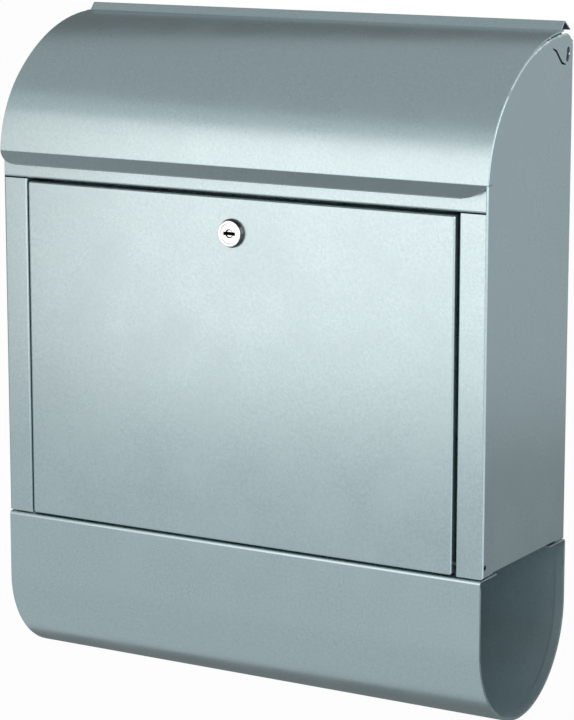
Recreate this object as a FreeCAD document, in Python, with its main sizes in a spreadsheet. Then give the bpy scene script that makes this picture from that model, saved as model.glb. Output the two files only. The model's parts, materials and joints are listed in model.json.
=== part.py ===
import FreeCAD, Part
import math
import os
import Sketcher
from FreeCAD import Placement, Rotation, Vector

# A wall mailbox in folded sheet steel: a letter box with a curved lid that lifts
# at the front, a front door that drops on a rod at its foot and locks at its top,
# and an open newspaper tube below.
#
# Everything is drawn in the box's own frame: X to the right, Y into the wall from
# the plane of the front rails, Z up from the lower edge of the rails. Each sub-part
# is then placed so that the origin is the centre of the four wall screws, on the wall.

doc = FreeCAD.newDocument("WallMailbox")

# ---------------------------------------------------------------- driving sizes

SIZES = {
    # the box
    "body_width": 382,
    "body_depth": 127,
    "wall_gap": 3,
    "opening_height": 242,
    "hood_rise": 108.5,
    "sheet_thickness": 1,
    "bend_radius": 2,
    "tight_bend_radius": 1.5,
    "fit_gap": 0.1,
    "seam_gap": 0.4,
    "relief_depth": 8,
    "slit_depth": 6,
    # side panels
    "rail_width": 20.2,
    "rail_return": 10,
    "rim_width": 10,
    "rear_corner_radius": 11,
    "top_flat": 2,
    "foot_length": 15,
    "foot_drop": 2,
    "ear_bay_length": 40,
    "ear_bay_drop": 30,
    # fascia between door and mail slot
    "fascia_height": 18,
    "sill_depth": 9,
    "catch_depth": 18,
    "catch_drop": 10,
    "catch_end_gap": 10,
    "catch_notch_spacing": 150,
    "catch_notch_width": 2,
    # back panel and wall screws
    "back_top_drop": 5.5,
    "screw_spacing_x": 300,
    "screw_spacing_z": 240,
    "screw_centre_height": 170,
    "wall_hole_radius": 3,
    "pad_radius": 13,
    "pad_dish_radius": 11.5,
    # floor
    "floor_front": 12.5,
    "floor_edge_height": 11,
    "floor_lift": 3,
    "floor_drop": 0.9,
    "floor_ledge": 17,
    "floor_joggle": 3,
    # newspaper tube
    "tube_end_inset": 1.2,
    "tube_proud": 1.5,
    "tube_height": 110.7,
    "tube_roll_radius": 2.5,
    "tube_flange": 25,
    "tube_hem": 6,
    "tube_screw_spacing_x": 240,
    "tube_screw_edge": 19,
    "m4_radius": 2,
    "m4_hole_radius": 2.25,
    "m4_head_radius": 4,
    "m4_head_height": 2.6,
    "m4_nut_flats": 7,
    "m4_nut_height": 3.2,
    "m4_length": 8,
    # door
    "door_side_gap": 2.2,
    "door_top_gap": 2,
    "door_foot_gap": 0.6,
    "door_proud": 2,
    "door_return": 11,
    "door_foot_return": 8,
    "door_corner_radius": 1.8,
    "door_bend_radius": 1.6,
    "rod_radius": 1.75,
    "rod_depth": 3.5,
    "rod_height": 7.6,
    "rod_recess": 2.5,
    "running_gap": 0.05,
    "clip_radius": 2.4,
    "clip_thickness": 1,
    # cam lock
    "lock_drop": 24,
    "lock_head_radius": 9.9,
    "lock_head_length": 3.9,
    "lock_face_radius": 8.7,
    "lock_edge_radius": 0.5,
    "lock_skirt_length": 1.2,
    "lock_barrel_radius": 8,
    "lock_nut_flats": 20,
    "lock_nut_height": 3,
    "plug_radius": 6,
    "plug_flange_radius": 6.8,
    "plug_flange_length": 1.5,
    "plug_sink": 0.3,
    "plug_edge_radius": 0.3,
    "plug_dish_radius": 3.1,
    "plug_dish_depth": 0.7,
    "plug_dish_slope": 0.8,
    "key_slot_length": 9.4,
    "key_slot_width": 2.4,
    "key_slot_depth": 9,
    "tang_width": 7,
    "cam_gap": 1,
    "cam_thickness": 2,
    "cam_width": 14,
    "cam_reach": 25,
    "cam_washer_radius": 6.5,
    "cam_washer_thickness": 1,
    "cam_screw_radius": 2.5,
    "cam_screw_length": 9,
    "cam_screw_flats": 8,
    "cam_screw_head": 3.5,
    # lid
    "lid_overhang": 1,
    "lid_front_gap": 1.2,
    "lid_sill_gap": 1,
    "lip_reach": 6,
    "lip_drop": 8.5,
    "lip_corner_width": 15.5,
    "lid_top_gap": 1,
    "rail_inset": 2.3,
    "rail_foot_radius": 5,
    "rail_rise": 6.3,
    "rail_front_run": 5.4,
    "rail_back_run": 9.2,
    "crest_radius": 1.6,
    "pin_from_back": 7.1,
    "pin_below_top": 14.5,
    "pin_radius": 1.5,
    "pin_head_radius": 3,
    "pin_head_length": 0.9,
    "pin_show": 0.3,
    "ear_thickness": 1.2,
    "ear_side_gap": 0.6,
    "ear_boss": 4.4,
    "ear_weld_length": 15,
    "ear_flange": 9,
    # slots punched in each side panel for the lid pin and its spring tongue
    "pin_slot_width": 4,
    "pin_slot_length": 10,
    "pin_slot_lead": 2.9,
    "pin_slot_lean": 1,
    "tongue_length": 21,
    "tongue_rise": 12,
    "tongue_slit": 1.4,
}


class Size:
    """A length in mm together with the spreadsheet formula that gives it."""

    def __init__(self, value, formula):
        self.value = float(value)
        self.formula = formula

    def __add__(self, other):
        other = as_size(other)
        return Size(self.value + other.value, f"({self.formula} + {other.formula})")

    def __sub__(self, other):
        other = as_size(other)
        return Size(self.value - other.value, f"({self.formula} - {other.formula})")

    def __mul__(self, other):
        other = as_size(other)
        return Size(self.value * other.value, f"({self.formula} * {other.formula})")

    def __truediv__(self, other):
        other = as_size(other)
        return Size(self.value / other.value, f"({self.formula} / {other.formula})")

    def __neg__(self):
        return Size(-self.value, f"(-1 * {self.formula})")

    def root(self):
        """The length whose square this is."""
        return Size(math.sqrt(self.value), f"sqrt({self.formula})")


def as_size(number):
    """A Size from a Size or from a plain number."""
    if isinstance(number, Size):
        return number
    return Size(number, f"({number})")


def make_sheet():
    """Write the driving sizes into a spreadsheet and return them as Sizes."""
    sheet = doc.addObject("Spreadsheet::Sheet", "Sizes")
    sizes = {}
    for row, (alias, value) in enumerate(SIZES.items(), start=1):
        sheet.set(f"A{row}", alias)
        sheet.set(f"B{row}", str(value))
        sheet.setAlias(f"B{row}", alias)
        sizes[alias] = Size(value, f"Sizes.{alias}")
    doc.recompute()
    return sizes


S = make_sheet()
ZERO = as_size(0)

# ------------------------------------------------- places worked out from sizes

HALF_WIDTH = S["body_width"] / 2
SHEET = S["sheet_thickness"]
BEND = S["bend_radius"]
INNER_SIDE = HALF_WIDTH - SHEET
BACK_FACE = S["body_depth"] - SHEET
SEAM = S["opening_height"]
SILL = SEAM + S["fascia_height"]
TOP = SEAM + S["hood_rise"]
HOOD_DEPTH = BACK_FACE - S["rear_corner_radius"] - S["top_flat"]
HOOD_HEIGHT = TOP - SILL
WALL = S["body_depth"] + S["wall_gap"]
OPENING_SIDE = HALF_WIDTH - S["rail_width"]
DOOR_SIDE = OPENING_SIDE - S["door_side_gap"]
DOOR_TOP = SEAM - S["door_top_gap"]
DOOR_FRONT = -S["door_proud"]
DOOR_INNER = DOOR_FRONT + SHEET
LOCK_HEIGHT = DOOR_TOP - S["lock_drop"]
LOCK_END = S["catch_depth"] + SHEET + S["cam_gap"]
CAM_BACK = LOCK_END + S["cam_thickness"]
WASHER_BACK = CAM_BACK + S["cam_washer_thickness"]
LOCK_FACE = DOOR_FRONT - S["lock_head_length"]
PLUG_FACE = LOCK_FACE + S["plug_sink"]
FLANGE_BACK = PLUG_FACE + S["plug_flange_length"]
PIN_DEPTH = S["body_depth"] - S["pin_from_back"]
PIN_HEIGHT = TOP - S["pin_below_top"]
PIN_SPAN = INNER_SIDE - S["ear_side_gap"]
EAR_INNER = PIN_SPAN - S["ear_thickness"]
FLOOR_TOP = SHEET - S["floor_drop"]
TUBE_TOP = -S["floor_drop"]

# a cut this deep goes through a sheet and the bend beside it
THROUGH = BEND * 2

# a corner rounded a little less than a half-round keeps a short straight run beside it
HALF_ROUND_RATIO = 0.999

# ----------------------------------------------------------------- sketch tools


def tangent_arc(before, corner, after, radius):
    """Start, centre and end of the arc that rounds a corner."""
    before, corner, after = (Vector(p[0].value, p[1].value, 0) for p in (before, corner, after))
    first = (before - corner).normalize()
    second = (after - corner).normalize()
    half_angle = first.getAngle(second) / 2
    setback = radius / math.tan(half_angle)
    bisector = (first + second).normalize()
    centre = corner + bisector * (radius / math.sin(half_angle))
    return corner + first * setback, centre, corner + second * setback


def bind(sketch, kind, place, size):
    """Add a dimension to a sketch and bind it to its formula."""
    number = sketch.addConstraint(Sketcher.Constraint(kind, *place, size.value))
    sketch.setExpression(f"Constraints[{number}]", size.formula)


def draw_path(sketch, corners, closed):
    """Draw straight runs between corners, each corner (u, v) or (u, v, radius).

    A rounded corner keeps its sharp corner as a construction point, so that the
    dimensions always go to the point where the two runs would meet.
    """
    count = len(corners)
    ends = []
    for i, corner in enumerate(corners):
        if len(corner) == 3:
            before = corners[i - 1]
            after = corners[(i + 1) % count]
            ends.append(tangent_arc(before, corner, after, corner[2].value))
        else:
            point = Vector(corner[0].value, corner[1].value, 0)
            ends.append((point, point, point))
    runs = []
    for i in range(count if closed else count - 1):
        line = Part.LineSegment(ends[i][2], ends[(i + 1) % count][0])
        runs.append(sketch.addGeometry(line, False))
    for i, corner in enumerate(corners):
        arriving = runs[i - 1] if closed or i > 0 else None
        leaving = runs[i] if i < len(runs) else None
        if len(corner) == 3:
            round_corner(sketch, corner, ends[i], arriving, leaving)
        else:
            if arriving is not None and leaving is not None:
                sketch.addConstraint(Sketcher.Constraint("Coincident", arriving, 2, leaving, 1))
            place = (leaving, 1) if leaving is not None else (arriving, 2)
            bind(sketch, "DistanceX", (-1, 1) + place, corner[0])
            bind(sketch, "DistanceY", (-1, 1) + place, corner[1])


def round_corner(sketch, corner, arc_points, arriving, leaving):
    """Join two runs by a tangent arc whose sharp corner stays where it was."""
    start, centre, end = arc_points
    from_angle, to_angle = (math.atan2(p.y - centre.y, p.x - centre.x) for p in (start, end))
    near, far = 1, 2
    if (start - centre).cross(end - centre).z < 0:
        from_angle, to_angle = to_angle, from_angle
        near, far = 2, 1
    if to_angle < from_angle:
        to_angle += 2 * math.pi
    circle = Part.Circle(centre, Vector(0, 0, 1), corner[2].value)
    arc = sketch.addGeometry(Part.ArcOfCircle(circle, from_angle, to_angle), False)
    sketch.addConstraint(Sketcher.Constraint("Tangent", arriving, 2, arc, near))
    sketch.addConstraint(Sketcher.Constraint("Tangent", leaving, 1, arc, far))
    bind(sketch, "Radius", (arc,), corner[2])
    point = sketch.addGeometry(Part.Point(Vector(corner[0].value, corner[1].value, 0)), True)
    sketch.addConstraint(Sketcher.Constraint("PointOnObject", point, 1, arriving))
    sketch.addConstraint(Sketcher.Constraint("PointOnObject", point, 1, leaving))
    bind(sketch, "DistanceX", (-1, 1, point, 1), corner[0])
    bind(sketch, "DistanceY", (-1, 1, point, 1), corner[1])


def rectangle(low_u, low_v, high_u, high_v):
    """The four corners of an upright rectangle."""
    return [(low_u, low_v), (low_u, high_v), (high_u, high_v), (high_u, low_v)]


def run_length(start, end):
    """The straight distance between two corners."""
    across = end[0] - start[0]
    up = end[1] - start[1]
    return (across * across + up * up).root()


def rounding(before, corner, after, setback):
    """The radius of the arc that leaves both runs at a given distance from their corner.

    The path turns clockwise there.
    """
    arriving = (corner[0] - before[0], corner[1] - before[1])
    leaving = (after[0] - corner[0], after[1] - corner[1])
    turn = arriving[1] * leaving[0] - arriving[0] * leaving[1]
    along = arriving[0] * leaving[0] + arriving[1] * leaving[1]
    lengths = run_length(before, corner) * run_length(corner, after)
    return setback * turn / (lengths - along)


def hood_curve(foot, shoulder, brow, rear, shoulder_share, brow_share):
    """The two rounded corners of a hood's profile, from its foot in front to its rear end.

    The shoulder's arc takes up a share of the run before it, and the brow's arc takes
    up a share of what is then left between the two, whatever the size of the hood.
    """
    shoulder_setback = run_length(foot, shoulder) * shoulder_share
    brow_setback = (run_length(shoulder, brow) - shoulder_setback) * brow_share
    shoulder_radius = rounding(foot, shoulder, brow, shoulder_setback)
    brow_radius = rounding(shoulder, brow, rear, brow_setback)
    return [shoulder + (shoulder_radius,), brow + (brow_radius,)]


# --------------------------------------------------------- PartDesign body tools


def new_body(label):
    """A body placed in the wall-screw frame."""
    body = doc.addObject("PartDesign::Body", label)
    body.Label = label
    place_in_wall_frame(body)
    return body


def place_in_wall_frame(sub_part):
    """Move a sub-part from the box's frame to the frame of the wall screws."""
    sub_part.setExpression(".Placement.Base.y", f"-1 * {WALL.formula}")
    sub_part.setExpression(".Placement.Base.z", f"-1 * {S['screw_centre_height'].formula}")


def new_sketch(body, plane, level):
    """A sketch on one of the body's origin planes, moved along that plane's normal.

    The XZ plane's normal points out of the box, so its level counts forwards.
    """
    sketch = body.newObject("Sketcher::SketchObject", "Outline")
    face = next(f for f in body.Origin.OriginFeatures if f.Role == plane)
    sketch.AttachmentSupport = [(face, "")]
    sketch.MapMode = "FlatFace"
    sketch.setExpression(".AttachmentOffset.Base.z", level.formula)
    return sketch


def sketch_outline(body, plane, level, corners):
    """A closed outline through the given corners."""
    sketch = new_sketch(body, plane, level)
    draw_path(sketch, corners, closed=True)
    return sketch


def sketch_circles(body, plane, level, centres, radius):
    """Equal circles at the given centres."""
    sketch = new_sketch(body, plane, level)
    for u, v in centres:
        middle = Vector(u.value, v.value, 0)
        circle = sketch.addGeometry(Part.Circle(middle, Vector(0, 0, 1), radius.value), False)
        bind(sketch, "Radius", (circle,), radius)
        bind(sketch, "DistanceX", (-1, 1, circle, 3), u)
        bind(sketch, "DistanceY", (-1, 1, circle, 3), v)
    return sketch


def pad(body, sketch, length):
    """Raise a sketch along its normal, or against it when the length is negative."""
    return extrude(body, "PartDesign::Pad", sketch, length)


def pocket(body, sketch, length):
    """Cut a sketch against its normal, or along it when the length is negative."""
    before = body.Shape.Volume
    feature = extrude(body, "PartDesign::Pocket", sketch, length)
    if feature.Shape.Volume >= before - 1e-6:
        raise RuntimeError(f"{body.Label}: a pocket cuts nothing")
    return feature


def extrude(body, kind, sketch, length):
    """A pad or pocket of a signed length."""
    feature = body.newObject(kind, kind.split("::")[1])
    feature.Profile = sketch
    feature.Reversed = length.value < 0
    formula = f"-1 * {length.formula}" if length.value < 0 else length.formula
    feature.setExpression("Length", formula)
    sketch.Visibility = False
    doc.recompute()
    return feature


def fillet(body, chosen, radius):
    """Round the edges of the body's tip for which chosen(edge) is true."""
    base = body.Tip
    names = [f"Edge{i}" for i, edge in enumerate(base.Shape.Edges, start=1) if chosen(edge)]
    feature = body.newObject("PartDesign::Fillet", "Bend")
    feature.Base = (base, names)
    feature.setExpression("Radius", radius.formula)
    doc.recompute()
    return feature


def hollow(body, open_face, thickness):
    """Turn a solid into a sheet tray that is open at the face open_face picks."""
    base = body.Tip
    names = [f"Face{i}" for i, face in enumerate(base.Shape.Faces, start=1) if open_face(face)]
    feature = body.newObject("PartDesign::Thickness", "Sheet")
    feature.Base = (base, names)
    feature.setExpression("Value", thickness.formula)
    feature.Reversed = True
    doc.recompute()
    return feature


def revolve(body, plane, corners, axis_u, axis_v):
    """Turn an outline a full turn about the construction line through two points."""
    sketch = sketch_outline(body, plane, ZERO, corners)
    ends = [Vector(u.value, v.value, 0) for u, v in (axis_u, axis_v)]
    line = sketch.addGeometry(Part.LineSegment(*ends), True)
    for position, (u, v) in enumerate((axis_u, axis_v), start=1):
        bind(sketch, "DistanceX", (-1, 1, line, position), u)
        bind(sketch, "DistanceY", (-1, 1, line, position), v)
    feature = body.newObject("PartDesign::Revolution", "Turned")
    feature.Profile = sketch
    feature.ReferenceAxis = (sketch, ["Axis0"])
    feature.Angle = 360
    sketch.Visibility = False
    doc.recompute()
    return feature


# ------------------------------------------------------------- folded sheet tools

ALONG_X = Placement(Vector(0, 0, 0), Rotation(Vector(1, 1, 1), 120))
ALONG_Y = Placement(Vector(0, 0, 0), Rotation(Vector(1, 0, 0), 90))


def folded_sheet(label, corners, length, direction=ALONG_X, side=-1):
    """Sheet folded along an open path and extended equally to both sides of the path.

    The path is the outer face; side is -1 or 1 for the side of it that the sheet lies on.
    """
    path = doc.addObject("Sketcher::SketchObject", f"{label}_path")
    path.Placement = direction
    draw_path(path, corners, closed=False)
    section = doc.addObject("Part::Offset2D", f"{label}_section")
    section.Source = path
    section.Mode = "Skin"
    section.Fill = True
    section.setExpression("Value", f"{side} * {SHEET.formula}")
    sheet = doc.addObject("Part::Extrusion", label)
    sheet.Base = section
    sheet.DirMode = "Normal"
    sheet.Symmetric = True
    sheet.Solid = True
    sheet.setExpression("LengthFwd", length.formula)
    doc.recompute()
    return sheet


def block(name, low, high):
    """A box between two corners."""
    box = doc.addObject("Part::Box", name)
    for axis, size_name, start, end in zip("xyz", ("Length", "Width", "Height"), low, high):
        box.setExpression(f".Placement.Base.{axis}", as_size(start).formula)
        box.setExpression(size_name, (as_size(end) - start).formula)
    return box


BAR_TURNS = {
    "X": Rotation(Vector(0, 1, 0), 90),
    "Y": Rotation(Vector(1, 0, 0), -90),
    "Z": Rotation(),
}


def round_bar(name, axis, start, length, radius):
    """A cylinder that runs from start along the positive X, Y or Z axis."""
    bar = doc.addObject("Part::Cylinder", name)
    bar.Placement = Placement(Vector(0, 0, 0), BAR_TURNS[axis])
    bar.setExpression("Radius", radius.formula)
    bar.setExpression("Height", length.formula)
    for letter, place in zip("xyz", start):
        bar.setExpression(f".Placement.Base.{letter}", as_size(place).formula)
    return bar


def hexagon_bar(name, axis, start, length, flats):
    """A hexagonal bar that runs from start along the positive X, Y or Z axis."""
    bar = doc.addObject("Part::Prism", name)
    bar.Placement = Placement(Vector(0, 0, 0), BAR_TURNS[axis])
    bar.Polygon = 6
    bar.setExpression("Circumradius", (flats / math.sqrt(3)).formula)
    bar.setExpression("Height", length.formula)
    for letter, place in zip("xyz", start):
        bar.setExpression(f".Placement.Base.{letter}", as_size(place).formula)
    return bar


def fuse(label, pieces):
    """Join several objects to one."""
    joined = doc.addObject("Part::MultiFuse", label)
    joined.Shapes = pieces
    return joined


def cut(label, base, tools):
    """Cut tools out of a base."""
    result = doc.addObject("Part::Cut", label)
    result.Base = base
    result.Tool = fuse(f"{label}_tools", tools) if len(tools) > 1 else tools[0]
    doc.recompute()
    return result


def compound(label, pieces):
    """Several solids kept apart in one object."""
    group = doc.addObject("Part::Compound", label)
    group.Links = pieces
    doc.recompute()
    return group


def finish(sub_part, label):
    """Name a sub-part and place it in the wall-screw frame."""
    sub_part.Label = label
    place_in_wall_frame(sub_part)
    return sub_part


def mirrored(source, label):
    """The opposite hand of a sub-part."""
    mirror = doc.addObject("Part::Mirroring", label)
    mirror.Source = source
    mirror.Normal = Vector(1, 0, 0)
    mirror.Label = label
    return mirror


# ------------------------------------------------------------------ the fixed box


# the rim follows the lid's curve a little below it, as shares of the hood's depth and height
RIM_SHOULDER_LEAN_RATIO = 0.0365
RIM_SHOULDER_RISE_RATIO = 0.3457
RIM_SHOULDER_ROUND_RATIO = 0.86
RIM_BROW_REACH_RATIO = 0.5215
RIM_BROW_DROP_RATIO = 0.0179
RIM_BROW_ROUND_RATIO = 0.985


def make_side_panel():
    """A side sheet with front rail, curved rim and rear flange all folded inwards."""
    body = new_body("side_panel_right")
    rim_foot = (ZERO, SILL + S["seam_gap"])
    shoulder_height = SILL + HOOD_HEIGHT * RIM_SHOULDER_RISE_RATIO
    shoulder = (HOOD_DEPTH * RIM_SHOULDER_LEAN_RATIO, shoulder_height)
    brow_height = TOP - HOOD_HEIGHT * RIM_BROW_DROP_RATIO
    brow = (HOOD_DEPTH * RIM_BROW_REACH_RATIO, brow_height)
    rear = (BACK_FACE, TOP)
    shares = (RIM_SHOULDER_ROUND_RATIO, RIM_BROW_ROUND_RATIO)
    outline = [
        (ZERO, ZERO),
        rim_foot,
        *hood_curve(rim_foot, shoulder, brow, rear, *shares),
        rear + (S["rear_corner_radius"],),
        (BACK_FACE, ZERO),
    ]
    inner_edge = OPENING_SIDE.value
    outer_edge = HALF_WIDTH.value
    pad(body, sketch_outline(body, "YZ_Plane", OPENING_SIDE, outline), S["rail_width"])
    fillet(body, lambda edge: edge.BoundBox.XMin > outer_edge - 0.01, BEND)
    hollow(body, lambda face: face.BoundBox.XMax < inner_edge + 0.01, SHEET)

    # rear flange, curved rim and foot flanges are narrower than the front rail
    narrow = [
        (BEND, SEAM),
        (-BEND, SEAM),
        (-BEND, TOP + BEND),
        (S["body_depth"], TOP + BEND),
        (S["body_depth"], -BEND),
        (BEND, -BEND),
    ]
    level = HALF_WIDTH - S["rim_width"]
    pocket(body, sketch_outline(body, "YZ_Plane", level, narrow), S["rail_width"])

    # no flange beside the fascia and a slit above it, so that the rim can bend
    beside_fascia = rectangle(-BEND, SEAM - S["seam_gap"], S["relief_depth"], SILL + S["seam_gap"])
    pocket(body, sketch_outline(body, "YZ_Plane", INNER_SIDE, beside_fascia), S["rail_width"])
    slit = rectangle(-BEND, SILL, S["slit_depth"], SILL + S["seam_gap"])
    pocket(body, sketch_outline(body, "YZ_Plane", HALF_WIDTH + BEND, slit), THROUGH)

    # the rim is open beside the lid's hinge ears
    bay_front = BACK_FACE - S["ear_bay_length"]
    bay = rectangle(bay_front, TOP - S["ear_bay_drop"], S["body_depth"], TOP + BEND)
    pocket(body, sketch_outline(body, "YZ_Plane", INNER_SIDE, bay), S["rail_width"])

    # between its front and rear foot the lower edge is cut back
    foot_cut = rectangle(S["foot_length"], -BEND, BACK_FACE - S["foot_length"], S["foot_drop"])
    pocket(body, sketch_outline(body, "YZ_Plane", HALF_WIDTH + BEND, foot_cut), S["rail_width"] * 2)

    # the rail's inner edge turns back into the box
    turned = rectangle(ZERO, ZERO, S["rail_return"], SEAM - S["seam_gap"])
    pad(body, sketch_outline(body, "YZ_Plane", OPENING_SIDE, turned), SHEET)
    fillet(body, is_rail_bend, S["tight_bend_radius"])

    pocket(body, pin_slot(body), THROUGH)
    notch = [(PIN_DEPTH, PIN_HEIGHT)]
    notch_radius = S["pin_radius"] + S["running_gap"]
    level = HALF_WIDTH + BEND
    pocket(body, sketch_circles(body, "YZ_Plane", level, notch, notch_radius), THROUGH)
    pocket(body, tongue_slit(body), THROUGH)
    rod = [(S["rod_depth"], S["rod_height"])]
    rod_hole = S["rod_radius"] + S["running_gap"]
    reach = S["rail_width"] + THROUGH
    pocket(body, sketch_circles(body, "YZ_Plane", level, rod, rod_hole), reach)
    return body


def is_rail_bend(edge):
    """True for the upright outer edge where the rail turns back into the box."""
    box = edge.BoundBox
    at_front = abs(box.YMin) < 0.01 and abs(box.YMax) < 0.01
    at_inner_side = abs(box.XMin - OPENING_SIDE.value) < 0.01 and box.XLength < 0.01
    return at_front and at_inner_side and box.ZLength > SEAM.value / 2


# the ends of the leaning slot are rounded by this share of its half width
SLOT_ROUND_RATIO = 0.9


def pin_slot(body):
    """The leaning slot that lets the lid's pin in beside its notch."""
    middle = PIN_DEPTH - S["pin_slot_lead"]
    half_width = S["pin_slot_width"] / 2
    half_length = S["pin_slot_length"] / 2
    lean = S["pin_slot_lean"]
    corner = half_width * SLOT_ROUND_RATIO
    outline = [
        (middle - half_width - lean, PIN_HEIGHT - half_length, corner),
        (middle - half_width + lean, PIN_HEIGHT + half_length, corner),
        (middle + half_width + lean, PIN_HEIGHT + half_length, corner),
        (middle + half_width - lean, PIN_HEIGHT - half_length, corner),
    ]
    return sketch_outline(body, "YZ_Plane", HALF_WIDTH + BEND, outline)


# where the S-shaped slit turns, as shares of the tongue's length from its two ends,
# how much it falls before and after that, as a share of its whole fall,
# and how many slit widths wide its turns are
TONGUE_UPPER_BEND_RATIO = 0.26
TONGUE_LOWER_BEND_RATIO = 0.3
TONGUE_END_FALL_RATIO = 0.08
TONGUE_SWEEP_RATIO = 4


def tongue_slit(body):
    """The S-shaped slit that frees a springy tongue of the sheet below the hinge."""
    rear = PIN_DEPTH - S["pin_slot_lead"] * 2
    front = rear - S["tongue_length"]
    low = PIN_HEIGHT - S["pin_slot_length"] / 2 - SHEET * 2
    high = low + S["tongue_rise"]
    upper_bend = front + S["tongue_length"] * TONGUE_UPPER_BEND_RATIO
    lower_bend = rear - S["tongue_length"] * TONGUE_LOWER_BEND_RATIO
    end_fall = S["tongue_rise"] * TONGUE_END_FALL_RATIO
    slit = S["tongue_slit"]
    sweep = slit * TONGUE_SWEEP_RATIO
    outline = [
        (front, high),
        (front, high + slit / 2),
        (upper_bend + slit / 2, high - end_fall, sweep),
        (lower_bend + slit / 2, low + end_fall + slit, sweep),
        (rear, low + slit / 2),
        (rear, low),
        (lower_bend - slit / 2, low + end_fall, sweep),
        (upper_bend - slit / 2, high - end_fall - slit, sweep),
    ]
    return sketch_outline(body, "YZ_Plane", HALF_WIDTH + BEND, outline)


def make_back_panel():
    """The rear sheet with four dished pads that keep the box off the wall."""
    body = new_body("back_panel")
    side = INNER_SIDE - S["fit_gap"]
    plate = rectangle(-side, ZERO, side, TOP - S["back_top_drop"])
    pad(body, sketch_outline(body, "XZ_Plane", -BACK_FACE, plate), -SHEET)
    centres = []
    for across in (S["screw_spacing_x"] / 2, -(S["screw_spacing_x"] / 2)):
        for up in (S["screw_spacing_z"] / 2, -(S["screw_spacing_z"] / 2)):
            centres.append((across, S["screw_centre_height"] + up))
    pads = sketch_circles(body, "XZ_Plane", -S["body_depth"], centres, S["pad_radius"])
    pad(body, pads, -S["wall_gap"])
    dishes = sketch_circles(body, "XZ_Plane", -BACK_FACE, centres, S["pad_dish_radius"])
    pocket(body, dishes, S["wall_gap"])
    holes = sketch_circles(body, "XZ_Plane", -BACK_FACE, centres, S["wall_hole_radius"])
    pocket(body, holes, S["wall_gap"] + SHEET * 2)
    return body


def make_fascia():
    """The cross-piece above the door, folded back as a sill and as the lock's catch."""
    path = [
        (S["sill_depth"], SILL),
        (ZERO, SILL, BEND),
        (ZERO, SEAM, BEND),
        (S["catch_depth"], SEAM, BEND),
        (S["catch_depth"], SEAM - S["catch_drop"]),
    ]
    side = INNER_SIDE - S["fit_gap"]
    sheet = folded_sheet("fascia_sheet", path, side * 2)
    lip_side = OPENING_SIDE - S["catch_end_gap"]
    low = SEAM - S["catch_drop"] * 2
    back = S["catch_depth"] + THROUGH
    tools = [
        block("catch_end_right", (lip_side, ZERO, low), (HALF_WIDTH, back, SEAM)),
        block("catch_end_left", (-HALF_WIDTH, ZERO, low), (-lip_side, back, SEAM)),
    ]
    half_notch = S["catch_notch_width"] / 2
    notch_offset = S["catch_notch_spacing"] / 2
    for name, middle in (("right", notch_offset), ("left", -notch_offset)):
        start = (middle - half_notch, S["catch_depth"] - BEND, low)
        end = (middle + half_notch, back, SEAM + SHEET * 2)
        tools.append(block(f"catch_notch_{name}", start, end))
    return finish(cut("front_fascia", sheet, tools), "front_fascia")


def tube_screw_places():
    """The four places where the tube's flanges are screwed to the floor."""
    across = S["tube_screw_spacing_x"] / 2
    rear = WALL - S["tube_screw_edge"]
    return [(x, y) for x in (across, -across) for y in (S["tube_screw_edge"], rear)]


def make_floor():
    """The floor sheet: edges turned up inside the side panels, middle pressed down."""
    side = INNER_SIDE - S["fit_gap"]
    ledge = HALF_WIDTH - S["floor_ledge"]
    sunk = ledge - S["floor_joggle"]
    edge_top = S["floor_lift"] + S["floor_edge_height"]
    right = [
        (sunk, TUBE_TOP, S["tight_bend_radius"]),
        (ledge, S["floor_lift"], S["tight_bend_radius"]),
        (side, S["floor_lift"], BEND),
        (side, edge_top),
    ]
    left = [(-corner[0],) + corner[1:] for corner in reversed(right)]
    length = BACK_FACE - BEND - S["fit_gap"] - S["floor_front"]
    sheet = folded_sheet("floor_sheet", left + right, length, direction=ALONG_Y, side=1)
    sheet.setExpression(".Placement.Base.y", (S["floor_front"] + length / 2).formula)
    holes = []
    for i, (x, y) in enumerate(tube_screw_places()):
        low = TUBE_TOP - SHEET
        holes.append(round_bar(f"floor_hole_{i}", "Z", (x, y, low), SHEET * 3, S["m4_hole_radius"]))
    return finish(cut("floor_panel", sheet, holes), "floor_panel")


# the two curves under the tube, as shares of its depth
TUBE_FRONT_ROUND_RATIO = 0.48
TUBE_REAR_ROUND_RATIO = 0.519


def make_tube():
    """The newspaper tube: a U of sheet with inward flanges above and hemmed ends."""
    front = -S["tube_proud"]
    bottom = TUBE_TOP - S["tube_height"]
    depth = WALL - front
    front_round = depth * TUBE_FRONT_ROUND_RATIO
    rear_round = depth * TUBE_REAR_ROUND_RATIO
    roll = S["tube_roll_radius"]
    path = [
        (front + S["tube_flange"], TUBE_TOP),
        (front, TUBE_TOP, roll),
        (front, bottom, front_round),
        (WALL, bottom, rear_round),
        (WALL, TUBE_TOP, roll),
        (WALL - S["tube_flange"], TUBE_TOP),
    ]
    half_length = HALF_WIDTH - S["tube_end_inset"]
    shell = folded_sheet("tube_shell", path, half_length * 2)
    hem_front = front + SHEET
    hem_back = WALL - SHEET
    hem_bottom = bottom + SHEET
    hem_top = TUBE_TOP - roll * 2
    hem_path = [
        (hem_front, hem_top),
        (hem_front, hem_bottom, front_round - SHEET),
        (hem_back, hem_bottom, rear_round - SHEET),
        (hem_back, hem_top),
    ]
    hems = folded_sheet("tube_hems", hem_path, half_length * 2)
    hem_start = half_length - S["tube_hem"]
    middle = block("tube_hem_gap", (-hem_start, front, bottom - BEND), (hem_start, WALL, TUBE_TOP))
    pieces = [shell, cut("tube_end_hems", hems, [middle])]
    holes = []
    for i, (x, y) in enumerate(tube_screw_places()):
        low = TUBE_TOP - SHEET * 2
        holes.append(round_bar(f"tube_hole_{i}", "Z", (x, y, low), SHEET * 3, S["m4_hole_radius"]))
    return finish(cut("newspaper_tube", fuse("tube_sheet", pieces), holes), "newspaper_tube")


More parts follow.
